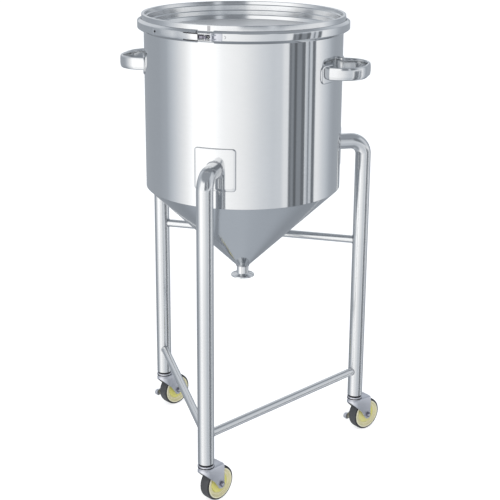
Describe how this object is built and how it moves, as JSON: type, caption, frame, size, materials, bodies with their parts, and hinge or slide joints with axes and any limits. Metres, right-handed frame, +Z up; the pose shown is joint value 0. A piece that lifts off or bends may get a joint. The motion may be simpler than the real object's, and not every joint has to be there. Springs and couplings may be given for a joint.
{
  "type": "mobile hopper tank",
  "caption": "Polished steel hopper vessel with a clamped recessed lid, cone bottom, clamp outlet, side handles and pipe legs on braked swivel casters.",
  "frame": {"origin": "on the floor in the middle of the whole object's box, 35 mm in front of the vessel's axis and 5 mm to its right", "axes": "+Z up, -Y towards the front leg, +X towards the right handle"},
  "size_m": [0.5455, 0.5051, 0.978],
  "materials": {
    "mirror_steel": "polished stainless steel",
    "satin_steel": "satin stainless steel",
    "pressed_steel": "pressed and zinc plated",
    "bolt_steel": "turned steel",
    "gasket_rubber": "matt",
    "wheel_plastic": "moulded",
    "tyre_rubber": "matt"
  },
  "bodies": {
    "vessel": {"tank_shell": "mirror_steel", "tank_cone": "satin_steel", "outlet_ferrule": "mirror_steel", "lid": "mirror_steel", "lid_gasket": "gasket_rubber", "clamp_band": "mirror_steel", "latch_bracket": "pressed_steel", "handle_left": "mirror_steel", "handle_right": "mirror_steel", "leg_front": "mirror_steel", "leg_pad_front": "mirror_steel", "leg_plug_front": "bolt_steel", "leg_left": "mirror_steel", "leg_pad_left": "mirror_steel", "leg_plug_left": "bolt_steel", "leg_right": "mirror_steel", "leg_pad_right": "mirror_steel", "leg_plug_right": "bolt_steel", "brace_front_left": "mirror_steel", "brace_front_right": "mirror_steel", "brace_rear": "mirror_steel", "caster_stem_front": "pressed_steel", "caster_stem_left": "pressed_steel", "caster_stem_right": "pressed_steel"},
    "swivel_front": {"caster_fork_front": "pressed_steel", "caster_axle_front": "bolt_steel"},
    "wheel_front": {"caster_wheel_front": "wheel_plastic", "caster_tyre_front": "tyre_rubber"},
    "swivel_left": {"caster_fork_left": "pressed_steel", "caster_axle_left": "bolt_steel"},
    "wheel_left": {"caster_wheel_left": "wheel_plastic", "caster_tyre_left": "tyre_rubber"},
    "swivel_right": {"caster_fork_right": "pressed_steel", "caster_axle_right": "bolt_steel"},
    "wheel_right": {"caster_wheel_right": "wheel_plastic", "caster_tyre_right": "tyre_rubber"},
    "brake_left": {"brake_pedal_left": "pressed_steel"},
    "brake_right": {"brake_pedal_right": "pressed_steel"},
    "lever": {"latch_lever": "mirror_steel"},
    "link": {"latch_link": "bolt_steel"}
  },
  "joints": [
    {"name": "swivel_turn_front", "type": "hinge", "parent": "vessel", "child": "swivel_front", "pos_m": [-0.005, -0.2345, 0.0861], "axis": [0, 0, 1], "continuous": true},
    {"name": "wheel_spin_front", "type": "hinge", "parent": "swivel_front", "child": "wheel_front", "pos_m": [0.00932, -0.20813, 0.0375], "axis": [0.8788, -0.4772, 0], "continuous": true},
    {"name": "swivel_turn_left", "type": "hinge", "parent": "vessel", "child": "swivel_left", "pos_m": [-0.23839, 0.16975, 0.0861], "axis": [0, 0, 1], "continuous": true},
    {"name": "wheel_spin_left", "type": "hinge", "parent": "swivel_left", "child": "wheel_left", "pos_m": [-0.22271, 0.19533, 0.0375], "axis": [0.8526, -0.5225, 0], "continuous": true},
    {"name": "swivel_turn_right", "type": "hinge", "parent": "vessel", "child": "swivel_right", "pos_m": [0.22839, 0.16975, 0.0861], "axis": [0, 0, 1], "continuous": true},
    {"name": "wheel_spin_right", "type": "hinge", "parent": "swivel_right", "child": "wheel_right", "pos_m": [0.24665, 0.19355, 0.0375], "axis": [0.7934, -0.6088, 0], "continuous": true},
    {"name": "brake_press_left", "type": "hinge", "parent": "swivel_left", "child": "brake_left", "pos_m": [-0.22271, 0.19533, 0.0375], "axis": [0.8526, -0.5225, 0], "range_deg": [0, 20]},
    {"name": "brake_press_right", "type": "hinge", "parent": "swivel_right", "child": "brake_right", "pos_m": [0.24665, 0.19355, 0.0375], "axis": [0.7934, -0.6088, 0], "range_deg": [0, 20]},
    {"name": "lever_open", "type": "hinge", "parent": "vessel", "child": "lever", "pos_m": [-0.005, -0.1896, 0.9566], "axis": [0, 0, 1], "range_deg": [0, 160]},
    {"name": "link_swing", "type": "hinge", "parent": "lever", "child": "link", "pos_m": [-0.01754, -0.18925, 0.9566], "axis": [0, 0, 1], "range_deg": [-80, 0]}
  ],
  "couplings": [
    {"joint": "link_swing", "follows": "lever_open", "ratio": -0.5}
  ]
}
